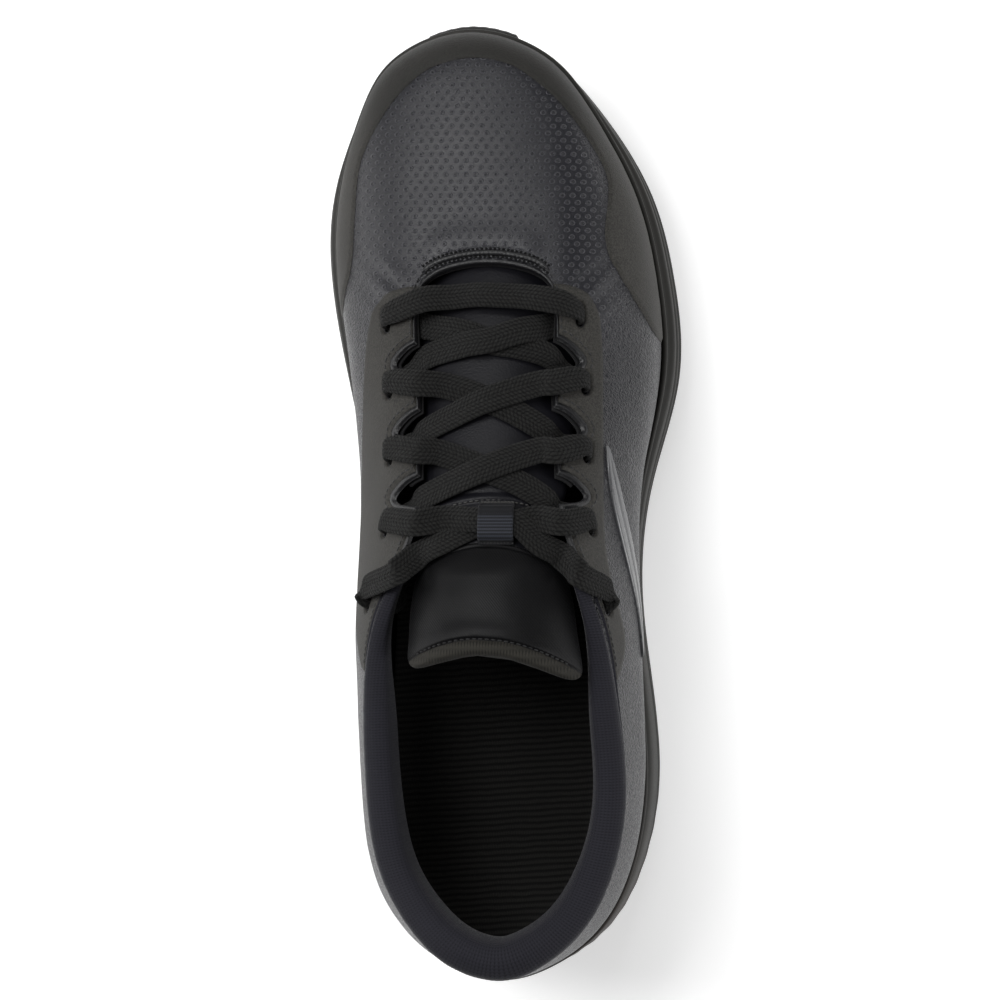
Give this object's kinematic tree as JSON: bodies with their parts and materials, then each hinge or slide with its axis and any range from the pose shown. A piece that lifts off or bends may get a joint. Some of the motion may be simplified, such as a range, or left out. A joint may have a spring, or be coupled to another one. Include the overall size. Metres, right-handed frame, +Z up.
{
  "type": "golf shoe",
  "caption": "Low black golf shoe for the right foot: laced upper, padded collar and tongue, removable insole, cupped foam midsole, lugged spikeless tread.",
  "frame": {"origin": "middle of the whole shoe's footprint, on the ground plane its tread rests on", "axes": "+Z up, +Y from heel to toe, +X to the outer side of the foot"},
  "size_m": [0.1114, 0.298, 0.1104],
  "materials": {
    "leather": "smooth black synthetic leather with a fine embossed grain, satin",
    "film": "thin matte dark olive-grey film fused on the leather",
    "knit": "fine dark knit over padding",
    "foam": "soft padding foam",
    "midsole": "dark moulded foam, satin side wall",
    "tread": "black rubbery plastic, satin",
    "board": "stitched non-woven board",
    "stiffener": "thermoformed stiffener sheet",
    "lining": "black brushed lining cloth",
    "webbing": "ribbed dark navy webbing",
    "lace": "flat black braid",
    "tip": "clear-black shrink tip",
    "emblem": "glossy grey printed blade"
  },
  "bodies": {
    "shoe": {"midsole": "midsole", "outsole": "tread", "strobel_board": "board", "insole_foam_front": "foam", "insole_cover_front": "lining", "upper_shell": "leather", "heel_counter": "stiffener", "toe_puff": "stiffener", "quarter_lining": "lining", "vamp_lining": "lining", "toe_rand": "film", "eyestay_outer": "film", "eyestay_inner": "film", "throat_edge": "leather", "side_emblem": "emblem", "collar_foam": "foam", "collar_knit": "knit", "tongue_lower": "leather", "lace": "lace", "lace_tip_inner": "tip", "lace_tip_outer": "tip", "lace_keeper": "webbing"},
    "tongue_flap": {"tongue_pad_cover": "knit", "tongue_pad_foam": "foam", "tongue_pad_lining": "lining"},
    "insole_heel": {"insole_foam_heel": "foam", "insole_cover_heel": "lining"}
  },
  "joints": [
    {"name": "tongue_fold", "type": "hinge", "parent": "shoe", "child": "tongue_flap", "pos_m": [0.002, -0.0125, 0.0962], "axis": [-1, 0, 0], "range_deg": [-10, 8], "stiffness_Nm_per_rad": 0.6},
    {"name": "insole_lift", "type": "hinge", "parent": "shoe", "child": "insole_heel", "pos_m": [0, 0.02165, 0.0286], "axis": [-1, 0, 0], "range_deg": [0, 10]}
  ]
}
